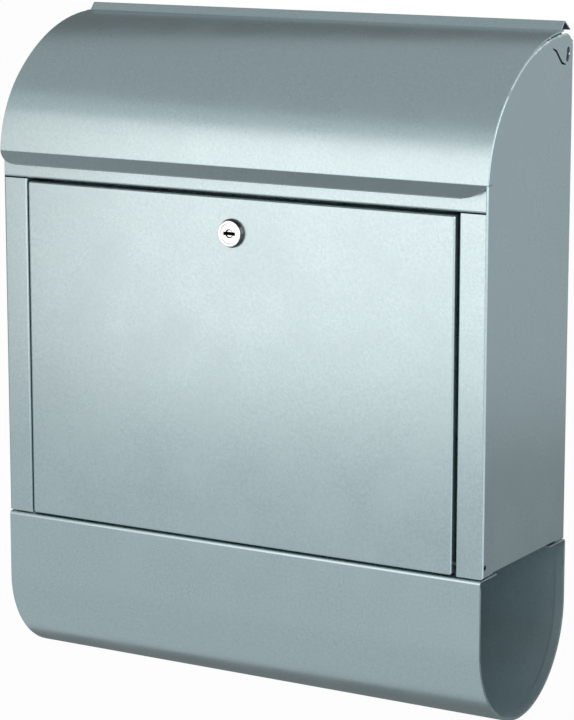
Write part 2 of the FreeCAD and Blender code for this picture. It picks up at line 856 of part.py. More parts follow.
def make_tube_screws():
    """Four pan-head screws down through the floor and the tube's flanges."""
    screws = []
    head_height = S["m4_head_height"]
    for i, (x, y) in enumerate(tube_screw_places()):
        tip = (x, y, FLOOR_TOP - S["m4_length"])
        head = round_bar(f"screw_head_{i}", "Z", (x, y, FLOOR_TOP), head_height, S["m4_head_radius"])
        shank = round_bar(f"screw_shank_{i}", "Z", tip, S["m4_length"], S["m4_radius"])
        screws.append(fuse(f"screw_{i}", [head, shank]))
    return finish(compound("tube_screws", screws), "tube_screws")


def make_tube_nuts():
    """Four hexagon nuts under the tube's flanges."""
    nuts = []
    height = S["m4_nut_height"]
    for i, (x, y) in enumerate(tube_screw_places()):
        start = (x, y, TUBE_TOP - SHEET - height)
        blank = hexagon_bar(f"nut_blank_{i}", "Z", start, height, S["m4_nut_flats"])
        bore = round_bar(f"nut_bore_{i}", "Z", start, height, S["m4_radius"])
        nuts.append(cut(f"nut_{i}", blank, [bore]))
    return finish(compound("tube_nuts", nuts), "tube_nuts")


# ----------------------------------------------------------------- the front door


def make_door():
    """The door: one sheet with all four edges folded back."""
    body = new_body("door_panel")
    plate = rectangle(-DOOR_SIDE, S["door_foot_gap"], DOOR_SIDE, DOOR_TOP)
    rear = S["door_return"] - S["door_proud"]
    pad(body, sketch_outline(body, "XZ_Plane", -rear, plate), S["door_return"])
    deep = S["door_return"].value / 2
    fillet(body, lambda edge: edge.BoundBox.YLength > deep, S["door_corner_radius"])
    fillet(body, lambda edge: edge.BoundBox.YMax < DOOR_FRONT.value + 0.01, S["door_bend_radius"])
    hollow(body, lambda face: face.BoundBox.YMin > rear.value - 0.01, SHEET)

    foot_rear = S["door_foot_return"] - S["door_proud"]
    inner = DOOR_SIDE - SHEET - S["door_corner_radius"]
    foot_top = S["door_foot_gap"] + SHEET * 2
    trim = rectangle(-inner, -BEND, inner, foot_top)
    pocket(body, sketch_outline(body, "XZ_Plane", -foot_rear, trim), S["door_return"])

    lock_hole = [(ZERO, LOCK_HEIGHT)]
    hole_radius = S["lock_barrel_radius"] + S["fit_gap"]
    in_front = S["door_proud"] + BEND
    pocket(body, sketch_circles(body, "XZ_Plane", in_front, lock_hole, hole_radius), THROUGH)
    rod = [(S["rod_depth"], S["rod_height"])]
    rod_hole = S["rod_radius"] + S["running_gap"]
    outside = DOOR_SIDE + SHEET
    pocket(body, sketch_circles(body, "YZ_Plane", outside, rod, rod_hole), outside * 2)
    return body


def make_door_rod():
    """The long rod at the door's foot, held in both side panels."""
    body = new_body("door_hinge_rod")
    end = HALF_WIDTH - S["rod_recess"]
    centre = [(S["rod_depth"], S["rod_height"])]
    pad(body, sketch_circles(body, "YZ_Plane", -end, centre, S["rod_radius"]), end * 2)
    return body


def make_rod_clips():
    """Two push-on rings that keep the rod from sliding out of the side panels."""
    clips = []
    inner_face = OPENING_SIDE + SHEET + S["fit_gap"]
    thickness = S["clip_thickness"]
    for name, x in (("right", inner_face), ("left", -(inner_face + thickness))):
        start = (x, S["rod_depth"], S["rod_height"])
        disc = round_bar(f"clip_disc_{name}", "X", start, thickness, S["clip_radius"])
        bore = round_bar(f"clip_bore_{name}", "X", start, thickness, S["rod_radius"])
        clips.append(cut(f"clip_{name}", disc, [bore]))
    return finish(compound("rod_clips", clips), "rod_clips")


# -------------------------------------------------------------------- the cam lock


def turned_outline(steps):
    """An outline in the YZ plane from steps of depth and radius about the lock's axis."""
    return [(step[0], LOCK_HEIGHT + step[1]) + tuple(step[2:]) for step in steps]


def lock_axis():
    """Two points on the lock's axis."""
    return (LOCK_FACE, LOCK_HEIGHT), (LOCK_END, LOCK_HEIGHT)


def make_lock_housing():
    """The lock's low bevelled head and barrel, bored for the plug and its flange."""
    body = new_body("lock_housing")
    bore = S["plug_radius"] + S["running_gap"]
    head = S["lock_head_radius"]
    barrel = S["lock_barrel_radius"]
    soft = S["lock_edge_radius"]
    seat = FLANGE_BACK + S["running_gap"]
    seat_radius = S["plug_flange_radius"] + S["running_gap"]
    steps = [
        (LOCK_FACE, seat_radius),
        (LOCK_FACE, S["lock_face_radius"], soft),
        (DOOR_FRONT - S["lock_skirt_length"], head, soft),
        (DOOR_FRONT, head),
        (DOOR_FRONT, barrel),
        (LOCK_END, barrel),
        (LOCK_END, bore),
        (seat, bore),
        (seat, seat_radius),
    ]
    revolve(body, "YZ_Plane", turned_outline(steps), *lock_axis())
    return body


def make_lock_nut():
    """The hexagon nut that clamps the lock to the door."""
    start = (ZERO, DOOR_INNER, LOCK_HEIGHT)
    height = S["lock_nut_height"]
    blank = hexagon_bar("lock_nut_blank", "Y", start, height, S["lock_nut_flats"])
    bore = round_bar("lock_nut_bore", "Y", start, height, S["lock_barrel_radius"])
    return finish(cut("lock_nut", blank, [bore]), "lock_nut")


def make_lock_plug():
    """The flanged plug that the key turns, with a square tang for the cam."""
    body = new_body("lock_plug")
    plug = S["plug_radius"]
    flange = S["plug_flange_radius"]
    dish_radius = S["plug_dish_radius"]
    dish_floor = PLUG_FACE + S["plug_dish_depth"]
    steps = [
        (dish_floor, ZERO),
        (dish_floor, dish_radius - S["plug_dish_slope"]),
        (PLUG_FACE, dish_radius),
        (PLUG_FACE, flange, S["plug_edge_radius"]),
        (FLANGE_BACK, flange),
        (FLANGE_BACK, plug),
        (LOCK_END, plug),
        (LOCK_END, ZERO),
    ]
    revolve(body, "YZ_Plane", turned_outline(steps), *lock_axis())
    centre = [(ZERO, LOCK_HEIGHT)]
    half_length = S["key_slot_length"] / 2
    half_width = S["key_slot_width"] / 2
    slot = rectangle(-half_length, LOCK_HEIGHT - half_width, half_length, LOCK_HEIGHT + half_width)
    pocket(body, sketch_outline(body, "XZ_Plane", -PLUG_FACE, slot), S["key_slot_depth"])
    half_tang = S["tang_width"] / 2
    tang = rectangle(-half_tang, LOCK_HEIGHT - half_tang, half_tang, LOCK_HEIGHT + half_tang)
    pad(body, sketch_outline(body, "XZ_Plane", -LOCK_END, tang), -S["cam_thickness"])
    thread = sketch_circles(body, "XZ_Plane", -CAM_BACK, centre, S["cam_screw_radius"])
    pocket(body, thread, -S["cam_screw_length"])
    return body


def make_cam():
    """The flat cam, at rest to the side so that the door is free."""
    body = new_body("lock_cam")
    half_width = S["cam_width"] / 2
    low = LOCK_HEIGHT - half_width
    high = LOCK_HEIGHT + half_width
    round_end = half_width * HALF_ROUND_RATIO
    bar = [
        (-half_width, low, round_end),
        (-half_width, high, round_end),
        (S["cam_reach"], high, half_width / 2),
        (S["cam_reach"], low, half_width / 2),
    ]
    pad(body, sketch_outline(body, "XZ_Plane", -LOCK_END, bar), -S["cam_thickness"])
    half_hole = (S["tang_width"] + S["fit_gap"]) / 2
    hole = rectangle(-half_hole, LOCK_HEIGHT - half_hole, half_hole, LOCK_HEIGHT + half_hole)
    pocket(body, sketch_outline(body, "XZ_Plane", -LOCK_END, hole), S["cam_thickness"])
    return body


def make_cam_washer():
    """The washer under the cam screw's head."""
    start = (ZERO, CAM_BACK, LOCK_HEIGHT)
    thickness = S["cam_washer_thickness"]
    disc = round_bar("cam_washer_disc", "Y", start, thickness, S["cam_washer_radius"])
    bore_radius = S["cam_screw_radius"] + S["fit_gap"]
    bore = round_bar("cam_washer_bore", "Y", start, thickness, bore_radius)
    return finish(cut("cam_washer", disc, [bore]), "cam_washer")


def make_cam_screw():
    """The hexagon-head screw that holds the cam on the plug."""
    length = S["cam_screw_length"]
    head_start = (ZERO, WASHER_BACK, LOCK_HEIGHT)
    shank_start = (ZERO, WASHER_BACK - length, LOCK_HEIGHT)
    head = hexagon_bar("cam_screw_head", "Y", head_start, S["cam_screw_head"], S["cam_screw_flats"])
    shank = round_bar("cam_screw_shank", "Y", shank_start, length, S["cam_screw_radius"])
    return finish(fuse("cam_screw", [head, shank]), "cam_screw")


# ------------------------------------------------------------------ the curved lid

# the lid's profile, as shares of the hood's depth and height
SHOULDER_LEAN_RATIO = 0.0257
SHOULDER_RISE_RATIO = 0.3434
SHOULDER_ROUND_RATIO = 0.975
BROW_REACH_RATIO = 0.508
BROW_DROP_RATIO = 0.0375
BROW_ROUND_RATIO = 0.98
REAR_REACH_RATIO = 0.96

LID_FRONT = -(S["lid_front_gap"] + SHEET)
LID_BEND_HEIGHT = SILL + S["lid_sill_gap"]
LID_REAR = HOOD_DEPTH * REAR_REACH_RATIO
LID_REAR_HEIGHT = TOP + S["lid_top_gap"] + SHEET
LID_SIDE = HALF_WIDTH + S["lid_overhang"]
LIP_EDGE = LID_BEND_HEIGHT - S["lip_drop"]


def lid_curve():
    """The lid's shoulder and brow, each with its radius."""
    foot = (LID_FRONT, LID_BEND_HEIGHT)
    shoulder_depth = LID_FRONT + HOOD_DEPTH * SHOULDER_LEAN_RATIO
    shoulder = (shoulder_depth, LID_BEND_HEIGHT + HOOD_HEIGHT * SHOULDER_RISE_RATIO)
    brow_height = LID_REAR_HEIGHT - HOOD_HEIGHT * BROW_DROP_RATIO
    brow = (HOOD_DEPTH * BROW_REACH_RATIO, brow_height)
    rear = (LID_REAR, LID_REAR_HEIGHT)
    return hood_curve(foot, shoulder, brow, rear, SHOULDER_ROUND_RATIO, BROW_ROUND_RATIO)


def make_lid():
    """The curved lid: lip, hood in two blended curves, and the folded rail behind."""
    path = [
        (LID_FRONT - S["lip_reach"], LIP_EDGE),
        (LID_FRONT, LID_BEND_HEIGHT, BEND),
        *lid_curve(),
        (LID_REAR, LID_REAR_HEIGHT, S["rail_foot_radius"]),
        (LID_REAR + S["rail_front_run"], LID_REAR_HEIGHT + S["rail_rise"], S["crest_radius"]),
        (LID_REAR + S["rail_front_run"] + S["rail_back_run"], LID_REAR_HEIGHT),
    ]
    sheet = folded_sheet("lid_sheet", path, LID_SIDE * 2, side=1)
    tools = []
    for name, sign in (("right", 1), ("left", -1)):
        tools.append(lid_rail_notch(name, sign))
        tools.append(lip_corner(name, sign))
    return finish(cut("lid_panel", sheet, tools), "lid_panel")


def lid_rail_notch(name, sign):
    """The piece cut away beside one end of the rail."""
    inner = LID_SIDE - S["rail_inset"]
    outer = LID_SIDE + BEND
    low, high = (inner, outer) if sign > 0 else (-outer, -inner)
    ceiling = LID_REAR_HEIGHT + S["rail_rise"] * 2
    end = S["body_depth"] + THROUGH
    return block(f"rail_notch_{name}", (low, LID_REAR, TOP - THROUGH), (high, end, ceiling))


def lip_corner(name, sign):
    """The piece cut away to round one lower corner of the lip, up to the lid's bend."""
    width = S["lip_corner_width"]
    drop = S["lip_drop"]
    radius = (width * width + drop * drop) / (drop * 2)
    centre = LID_SIDE - width
    outer = LID_SIDE + BEND
    low, high = (centre, outer) if sign > 0 else (-outer, -centre)
    front = LID_FRONT - S["lip_reach"] - BEND
    square_low = (low, front, LIP_EDGE - BEND)
    square_high = (high, BEND, LID_BEND_HEIGHT)
    square = block(f"lip_square_{name}", square_low, square_high)
    start = (centre * sign, front - BEND, LIP_EDGE + radius)
    length = BEND * 3 - front
    disc = round_bar(f"lip_disc_{name}", "Y", start, length, radius)
    return cut(f"lip_corner_{name}", square, [disc])


# how far the corners round the ear's pin hole are rounded, as a share of its boss
EAR_ROUND_RATIO = 0.6


def make_lid_ear():
    """The bracket welded under the lid that carries a hinge pin."""
    body = new_body("lid_ear_right")
    weld_front = LID_REAR - S["ear_weld_length"]
    brow_depth, brow_height, brow_radius = lid_curve()[1]
    slope = (LID_REAR_HEIGHT - brow_height) / (LID_REAR - brow_depth)
    lid_sag = S["ear_weld_length"] * S["ear_weld_length"] / (brow_radius * 2)
    rear_top = LID_REAR_HEIGHT - SHEET - S["fit_gap"]
    front_top = rear_top - S["ear_weld_length"] * slope - lid_sag
    boss = S["ear_boss"]
    outline = [
        (weld_front, front_top),
        (LID_REAR, rear_top),
        (PIN_DEPTH + boss, PIN_HEIGHT + boss / 2, boss * EAR_ROUND_RATIO),
        (PIN_DEPTH + boss, PIN_HEIGHT - boss, boss * EAR_ROUND_RATIO),
        (PIN_DEPTH - boss, PIN_HEIGHT - boss, boss * EAR_ROUND_RATIO),
    ]
    pad(body, sketch_outline(body, "YZ_Plane", EAR_INNER, outline), S["ear_thickness"])
    flange = [
        (weld_front, front_top - S["ear_thickness"]),
        (weld_front, front_top),
        (LID_REAR, rear_top),
        (LID_REAR, rear_top - S["ear_thickness"]),
    ]
    level = PIN_SPAN - S["ear_flange"]
    pad(body, sketch_outline(body, "YZ_Plane", level, flange), S["ear_flange"])
    hole = [(PIN_DEPTH, PIN_HEIGHT)]
    level = PIN_SPAN + SHEET
    pocket(body, sketch_circles(body, "YZ_Plane", level, hole, S["pin_radius"]), SHEET * 3)
    return body


def make_lid_pin():
    """The riveted pin that turns in the notch of the side panel."""
    head_start = (EAR_INNER - S["pin_head_length"], PIN_DEPTH, PIN_HEIGHT)
    head = round_bar("pin_head", "X", head_start, S["pin_head_length"], S["pin_head_radius"])
    length = HALF_WIDTH + S["pin_show"] - EAR_INNER
    shank_start = (EAR_INNER, PIN_DEPTH, PIN_HEIGHT)
    shank = round_bar("pin_shank", "X", shank_start, length, S["pin_radius"])
    return finish(fuse("lid_pin_right", [head, shank]), "lid_pin_right")


# -------------------------------------------------------------------- build it all


def build():
    """Make every sub-part, nearest the wall first."""
    side = make_side_panel()
    ear = make_lid_ear()
    pin = make_lid_pin()
    return [
        make_back_panel(),
        side,
        mirrored(side, "side_panel_left"),
        make_fascia(),
        make_floor(),
        make_tube(),
        make_tube_screws(),
        make_tube_nuts(),
        make_door_rod(),
        make_rod_clips(),
        make_door(),
        make_lock_housing(),
        make_lock_nut(),
        make_lock_plug(),
        make_cam(),
        make_cam_washer(),
        make_cam_screw(),
        make_lid(),
        ear,
        mirrored(ear, "lid_ear_left"),
        pin,
        mirrored(pin, "lid_pin_left"),
    ]


def check(sub_parts):
    """Stop if any object failed to compute or any sub-part has a bad shape."""
    for item in doc.Objects:
        if "Invalid" in item.State or "Error" in item.State:
            raise RuntimeError(f"{item.Name} failed: {item.State}")
    for sub_part in sub_parts:
        shape = sub_part.Shape
        if shape.isNull() or not shape.isValid() or shape.Volume <= 0:
            raise RuntimeError(f"{sub_part.Label} has a bad shape")


def write(sub_parts):
    """Write each sub-part to a STEP file named after its label."""
    os.makedirs("parts", exist_ok=True)
    for sub_part in sub_parts:
        sub_part.Shape.exportStep(f"parts/{sub_part.Label}.step")
        solids = len(sub_part.Shape.Solids)
        volume = sub_part.Shape.Volume
        print(f"{sub_part.Label}: {solids} solid(s), {volume:.0f} mm3, {sub_part.Shape.BoundBox}")


sub_parts = build()
doc.recompute()
check(sub_parts)
write(sub_parts)
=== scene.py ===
import json
import math

import bmesh
import bpy
from bpy.props import FloatProperty, FloatVectorProperty, PointerProperty
from mathutils import Matrix, Vector


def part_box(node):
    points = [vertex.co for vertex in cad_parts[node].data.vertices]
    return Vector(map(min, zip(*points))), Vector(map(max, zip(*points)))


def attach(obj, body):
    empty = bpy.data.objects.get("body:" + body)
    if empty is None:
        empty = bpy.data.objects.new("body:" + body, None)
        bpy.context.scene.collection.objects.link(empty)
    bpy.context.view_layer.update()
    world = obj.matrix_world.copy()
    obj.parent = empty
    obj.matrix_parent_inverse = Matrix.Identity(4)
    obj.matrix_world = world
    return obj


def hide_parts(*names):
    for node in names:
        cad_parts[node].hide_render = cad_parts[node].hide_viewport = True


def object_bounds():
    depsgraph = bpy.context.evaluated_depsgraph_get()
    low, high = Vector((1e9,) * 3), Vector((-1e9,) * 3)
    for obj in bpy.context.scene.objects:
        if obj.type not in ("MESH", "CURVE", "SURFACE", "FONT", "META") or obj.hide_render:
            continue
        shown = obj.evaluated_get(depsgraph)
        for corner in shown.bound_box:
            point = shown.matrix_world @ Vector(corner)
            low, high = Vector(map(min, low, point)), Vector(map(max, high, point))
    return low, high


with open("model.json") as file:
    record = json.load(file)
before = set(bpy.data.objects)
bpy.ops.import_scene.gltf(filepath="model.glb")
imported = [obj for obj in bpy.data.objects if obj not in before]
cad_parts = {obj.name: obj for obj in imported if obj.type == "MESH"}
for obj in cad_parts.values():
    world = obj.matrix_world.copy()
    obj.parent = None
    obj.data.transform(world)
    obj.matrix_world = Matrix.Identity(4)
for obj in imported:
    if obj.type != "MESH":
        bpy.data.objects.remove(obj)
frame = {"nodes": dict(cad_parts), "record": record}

bl_info = {
    "name": "Wall Mailbox",
    "version": (1, 0, 0),
    "blender": (4, 5, 0),
    "location": "3D View > Sidebar > Mailbox",
    "description": "Finishes a folded sheet-metal wall mailbox round its fixed frame",
    "category": "Object",
}

FRAME_LOW, FRAME_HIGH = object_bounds()
NODES = frame["nodes"]
BODY_OF_NODE = {
    node: body
    for body, members in frame["record"]["behaviour"]["bodies"].items()
    for node in members
}
MM = 0.001
MERGE_DISTANCE = 1e-6
FLAT_ANGLE = math.radians(0.1)
CUT_EDGE_ANGLE = math.radians(35)
SMOOTH_ANGLE = math.radians(50)
FLAT_FACE_WEIGHT = 60

# ------------------------------------------------------------------------ sizes


class MailboxFinish(bpy.types.PropertyGroup):
    """Colours and surface sizes of the mailbox's finishes."""

    coat_colour: FloatVectorProperty(
        name="Coat colour", description="Silver powder coat", subtype="COLOR",
        default=(0.525, 0.645, 0.67), min=0, max=1)
    coat_shade: FloatVectorProperty(
        name="Coat shade", description="Darker flakes in the powder coat", subtype="COLOR",
        default=(0.455, 0.567, 0.592), min=0, max=1)
    coat_metal: FloatProperty(
        name="Coat metal", description="How metallic the powder coat is", subtype="FACTOR",
        default=0.9, min=0, max=1)
    coat_roughness: FloatProperty(
        name="Coat roughness", description="Roughness of the powder coat", subtype="FACTOR",
        default=0.27, min=0, max=1)
    coat_grain: FloatProperty(
        name="Coat grain", description="Size of the coat's fine grain", subtype="DISTANCE",
        default=1.8 * MM, unit="LENGTH")
    edge_softness: FloatProperty(
        name="Edge softness", description="How far the coat rounds a cut sheet edge",
        subtype="DISTANCE", default=0.18 * MM, unit="LENGTH")
    inner_roughness: FloatProperty(
        name="Inner roughness", description="Roughness of the coat inside the newspaper tube",
        subtype="FACTOR", default=0.45, min=0, max=1)
    # the lid's lip is given a darker coat as painted shade, at this share of the coat's
    # brightness
    lip_shade_share: FloatProperty(
        name="Lip shade share", description="Brightness of the lid's lip as a share of the coat's",
        subtype="FACTOR", default=0.61, min=0, max=1)
    # the lid's ears are given a darker coat as painted shade, at this share of the coat's
    # brightness
    ear_shade_share: FloatProperty(
        name="Ear shade share", description="Brightness of the lid's ears as a share of the coat's",
        subtype="FACTOR", default=0.25, min=0, max=1)
    lid_softness: FloatProperty(
        name="Lid softness", description="Rounding of the lid's rolled edges",
        subtype="DISTANCE", default=0.42 * MM, unit="LENGTH")
    metal_softness: FloatProperty(
        name="Metal softness",
        description="Rounding of the edges of the lock and the fasteners",
        subtype="DISTANCE", default=0.25 * MM, unit="LENGTH")
    steel_colour: FloatVectorProperty(
        name="Steel colour", description="Zinc plated steel", subtype="COLOR",
        default=(0.60, 0.61, 0.60), min=0, max=1)
    # the door rod and its clips are made this dark as painted shade, to read as the shade in
    # the door's side gap
    gap_shade_colour: FloatVectorProperty(
        name="Gap shade steel colour", description="Black phosphated steel", subtype="COLOR",
        default=(0.085, 0.088, 0.09), min=0, max=1)
    chrome_colour: FloatVectorProperty(
        name="Chrome colour", description="Polished chrome of the lock", subtype="COLOR",
        default=(0.86, 0.87, 0.88), min=0, max=1)


class MailboxStudio(bpy.types.PropertyGroup):
    """Where the camera and the lights stand, and what colour the light has."""

    camera_place: FloatVectorProperty(
        name="Camera place", description="Where the camera stands", subtype="TRANSLATION",
        default=(0.9852, -1.7243, 0.32325), unit="LENGTH")
    camera_direction: FloatVectorProperty(
        name="Camera direction", description="Where the camera looks", subtype="DIRECTION",
        default=(-0.49979, 0.84480, -0.19110))
    lens: FloatProperty(
        name="Lens", description="Focal length in millimetres", default=140.125,
        unit="CAMERA")
    floor_drop: FloatProperty(
        name="Floor drop", description="How high the mailbox hangs above the floor",
        default=1.1, unit="LENGTH")
    softbox_distance: FloatProperty(
        name="Softbox distance", description="From the mailbox to the main softbox",
        default=0.734, unit="LENGTH")
    softbox_turn: FloatProperty(
        name="Softbox turn", description="Main softbox's bearing left of the front",
        default=math.radians(12.5), subtype="ANGLE")
    softbox_rise: FloatProperty(
        name="Softbox rise", description="Main softbox's middle above the level",
        default=math.radians(15), subtype="ANGLE")
    softbox_width: FloatProperty(
        name="Softbox width", description="Main softbox's width", default=1.0, unit="LENGTH")
    softbox_height: FloatProperty(
        name="Softbox height", description="Main softbox's height", default=0.73, unit="LENGTH")
    softbox_brightness: FloatProperty(
        name="Softbox brightness", description="How bright the main softbox looks",
        default=0.68, min=0)
    softbox_colour: FloatVectorProperty(
        name="Softbox colour", description="Colour of the main softbox", subtype="COLOR",
        default=(1, 0.865, 0.805), min=0, max=1)
    card_colour: FloatVectorProperty(
        name="Card colour", description="Colour of the cards round the mailbox",
        subtype="COLOR", default=(0.94, 0.985, 1), min=0, max=1)
    ambient: FloatProperty(
        name="Ambient", description="Even light from all round", default=0.3, min=0)
    ambient_colour: FloatVectorProperty(
        name="Ambient colour", description="Colour of the even light", subtype="COLOR",
        default=(0.97, 0.99, 1), min=0, max=1)
    floor_colour: FloatVectorProperty(
        name="Floor colour", description="Colour of the pale floor", subtype="COLOR",
        default=(0.82, 0.82, 0.82), min=0, max=1)


def finish():
    """The finish settings."""
    return bpy.context.scene.mailbox_finish


def studio():
    """The studio settings."""
    return bpy.context.scene.mailbox_studio


# ---------------------------------------------------------------------- meshes


def new_piece(node, bm, materials):
    """Turn a bmesh into the finished piece that rides and stands for a CAD node."""
    name = f"{node}_finished"
    mesh = bpy.data.meshes.new(name)
    bm.to_mesh(mesh)
    bm.free()
    piece = bpy.data.objects.new(name, mesh)
    bpy.context.scene.collection.objects.link(piece)
    for material in materials:
        mesh.materials.append(material)
    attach(piece, BODY_OF_NODE[node])
    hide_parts(node)
    shade(piece)


def shade(piece):
    """Shade a piece smooth, with its large flat faces kept flat."""
    piece.data.shade_smooth()
    piece.data.set_sharp_from_angle(angle=SMOOTH_ANGLE)
    weighted = piece.modifiers.new("Flat faces", "WEIGHTED_NORMAL")
    weighted.mode = "FACE_AREA"
    weighted.weight = FLAT_FACE_WEIGHT
    weighted.keep_sharp = True


def merged_copy(node):
    """A bmesh copy of a CAD node with its loose triangles joined to whole faces."""
    bm = bmesh.new()
    bm.from_mesh(NODES[node].data)
    bmesh.ops.remove_doubles(bm, verts=bm.verts, dist=MERGE_DISTANCE)
    bmesh.ops.dissolve_limit(bm, angle_limit=FLAT_ANGLE, verts=bm.verts, edges=bm.edges)
    return bm


def is_cut_edge(edge):
    """True where two faces meet at a cut edge."""
    return edge.is_manifold and edge.calc_face_angle() > CUT_EDGE_ANGLE


def softened(node, materials, softness, zone=None):
    """A CAD part with rounded edges, and each face in the material of its zone."""
    bm = merged_copy(node)
    if zone:
        for face in bm.faces:
            face.material_index = int(zone(face))
    bmesh.ops.bevel(
        bm, geom=[edge for edge in bm.edges if is_cut_edge(edge)], offset=softness,
        offset_type="OFFSET", segments=2, profile=0.5, affect="EDGES", clamp_overlap=True,
        material=-1)
    new_piece(node, bm, materials)


def coated_sheet(node, coat):
    """A CAD sheet part with its cut edges rounded by the powder coat."""
    softened(node, [coat], finish().edge_softness)


def boxes_of_solids(node):
    """The low and the high corner of each solid of a CAD node, in order of place."""
    bm = merged_copy(node)
    left = set(bm.verts)
    boxes = []
    while left:
        reached = [left.pop()]
        for vert in reached:
            near = {edge.other_vert(vert) for edge in vert.link_edges} & left
            left -= near
            reached.extend(near)
        low = Vector(min(vert.co[i] for vert in reached) for i in range(3))
        high = Vector(max(vert.co[i] for vert in reached) for i in range(3))
        boxes.append((low, high))
    bm.free()
    return sorted(boxes, key=lambda corners: tuple(corners[0]))


def turned(bm, profile, segments):
    """Spin a profile of (radius, height) points round the Z axis."""
    verts = [bm.verts.new((radius, 0, height)) for radius, height in profile]
    edges = [bm.edges.new(pair) for pair in zip(verts, verts[1:])]
    bmesh.ops.spin(
        bm, geom=verts + edges, cent=(0, 0, 0), axis=(0, 0, 1), angle=math.tau,
        steps=segments, use_merge=True)
    bmesh.ops.remove_doubles(bm, verts=bm.verts, dist=MERGE_DISTANCE)


def sink_cross(bm, reach, half_width, depth, taper):
    """Close the open rim of a screw head with a tapered cross recess."""
    rim = [edge for edge in bm.edges if edge.is_boundary]
    top = rim[0].verts[0].co.z
    corner = [(reach, half_width), (half_width, half_width), (half_width, reach)]
    outline = []
    for quarter in range(4):
        turn = Matrix.Rotation(math.radians(90 * quarter), 3, "Z")
        outline += [bm.verts.new(turn @ Vector((x, y, top))) for x, y in corner]
    cross = [bm.edges.new(pair) for pair in zip(outline, outline[1:] + outline[:1])]
    bmesh.ops.bridge_loops(bm, edges=rim + cross)
    walls = bmesh.ops.extrude_edge_only(bm, edges=cross)["geom"]
    low = [item for item in walls if isinstance(item, bmesh.types.BMVert)]
    for vert in low:
        vert.co = Vector((vert.co.x * taper, vert.co.y * taper, top - depth))
    ends = [item for item in walls if isinstance(item, bmesh.types.BMEdge)]
    floor = [edge for edge in ends if all(vert in low for vert in edge.verts)]
    bmesh.ops.contextual_create(bm, geom=floor)


def pan_screw(bm, low, high, head_height):
    """Add an upright pan-head screw that fills the box from low to high."""
    screw = bmesh.new()
    head = (high.x - low.x) / 2
    shank = head / 2
    top = high.z
    under = top - head_height
    # from the tip up to the rim of the recess
    profile = [
        (0, low.z), (shank * 0.7, low.z), (shank, low.z + shank * 0.3), (shank, under),
        (head * 0.94, under), (head, under + head * 0.06), (head, under + head_height * 0.4),
        (head * 0.94, under + head_height * 0.68), (head * 0.8, under + head_height * 0.9),
        (head * 0.6, top),
    ]
    turned(screw, profile, segments=48)
    sink_cross(
        screw, reach=head * 0.44, half_width=head * 0.11, depth=head_height * 0.6, taper=0.55)
    bmesh.ops.recalc_face_normals(screw, faces=screw.faces)
    middle = (low + high) / 2
    bmesh.ops.translate(screw, verts=screw.verts, vec=(middle.x, middle.y, 0))
    mesh = bpy.data.meshes.new("screw")
    screw.to_mesh(mesh)
    screw.free()
    bm.from_mesh(mesh)
    bpy.data.meshes.remove(mesh)


def domed_pin(bm, low, high, head_length, inward):
    """Add a level pin with a domed head at its inner end, pointing to +X or -X."""
    head = (high.z - low.z) / 2
    shank = head / 2
    length = high.x - low.x
    # from the middle of the dome to the pin's plain end
    profile = [
        (0, 0), (head * 0.45, head_length * 0.12), (head * 0.8, head_length * 0.4),
        (head, head_length * 0.8), (head, head_length), (shank, head_length),
        (shank, length - shank * 0.3), (shank * 0.7, length), (0, length),
    ]
    turned(bm, profile, segments=40)
    start = (low + high) / 2
    start.x = low.x if inward > 0 else high.x
    turn = Matrix.Rotation(math.radians(90 * inward), 4, "Y")
    bmesh.ops.transform(bm, matrix=Matrix.Translation(start) @ turn, verts=bm.verts)
    bmesh.ops.recalc_face_normals(bm, faces=bm.faces)


# -------------------------------------------------------------------- materials

# between these lie most of a noise texture's values
NOISE_LOW, NOISE_HIGH = 0.3, 0.7
# a wave texture of scale 1 turns by this many radians in each metre
WAVE_RATE = 20
# the patterns of the finishes
COAT_PATCH = 45 * MM
COAT_ROUGHNESS_RANGE = 0.03
PEEL_PER_GRAIN = 1.6
PEEL_DEPTH = 0.05 * MM
PEEL_STRENGTH = 0.28
ZINC_CRYSTAL = 1.8 * MM
DRAWN_SHARE = 0.04
POLISHING_MARK = 2.5 * MM
BARREL_PITCH = 1.0 * MM
SCREW_PITCH = 0.7 * MM
# the painted shade inside the key slot and on the dish's slope, and how dark and light it runs
KEYWAY_SHADE_COLOUR = (0.03, 0.028, 0.025)
KEYWAY_SHADE_DARKEST = (0.015, 0.015, 0.015)
KEYWAY_SHADE_LIGHTEST = (0.04, 0.036, 0.03)


def blank_material(name, colour, metal, roughness):
    """A node material with its constants on the shader, and its object coordinates."""
    material = bpy.data.materials.new(name)
    material.use_nodes = True
    nodes = material.node_tree.nodes
    shader = nodes["Principled BSDF"]
    shader.inputs["Base Color"].default_value = (*colour, 1)
    shader.inputs["Metallic"].default_value = metal
    shader.inputs["Roughness"].default_value = roughness
    place = nodes.new("ShaderNodeTexCoord")
    return material, shader, place.outputs["Object"]


def noise(material, place, size, detail=2.0, roughness=0.5):
    """Noise whose features are about the given size across, as its Fac output."""
    texture = material.node_tree.nodes.new("ShaderNodeTexNoise")
    texture.inputs["Scale"].default_value = 1 / size
    texture.inputs["Detail"].default_value = detail
    texture.inputs["Roughness"].default_value = roughness
    material.node_tree.links.new(place, texture.inputs["Vector"])
    return texture.outputs["Fac"]


def spread(material, value, low, high):
    """Map noise to a range of values."""
    mapped = material.node_tree.nodes.new("ShaderNodeMapRange")
    mapped.inputs["From Min"].default_value = NOISE_LOW
    mapped.inputs["From Max"].default_value = NOISE_HIGH
    mapped.inputs["To Min"].default_value = low
    mapped.inputs["To Max"].default_value = high
    material.node_tree.links.new(value, mapped.inputs["Value"])
    return mapped.outputs["Result"]


def dimmed(colour, share):
    """A colour at a share of its brightness."""
    return [share * part for part in colour]


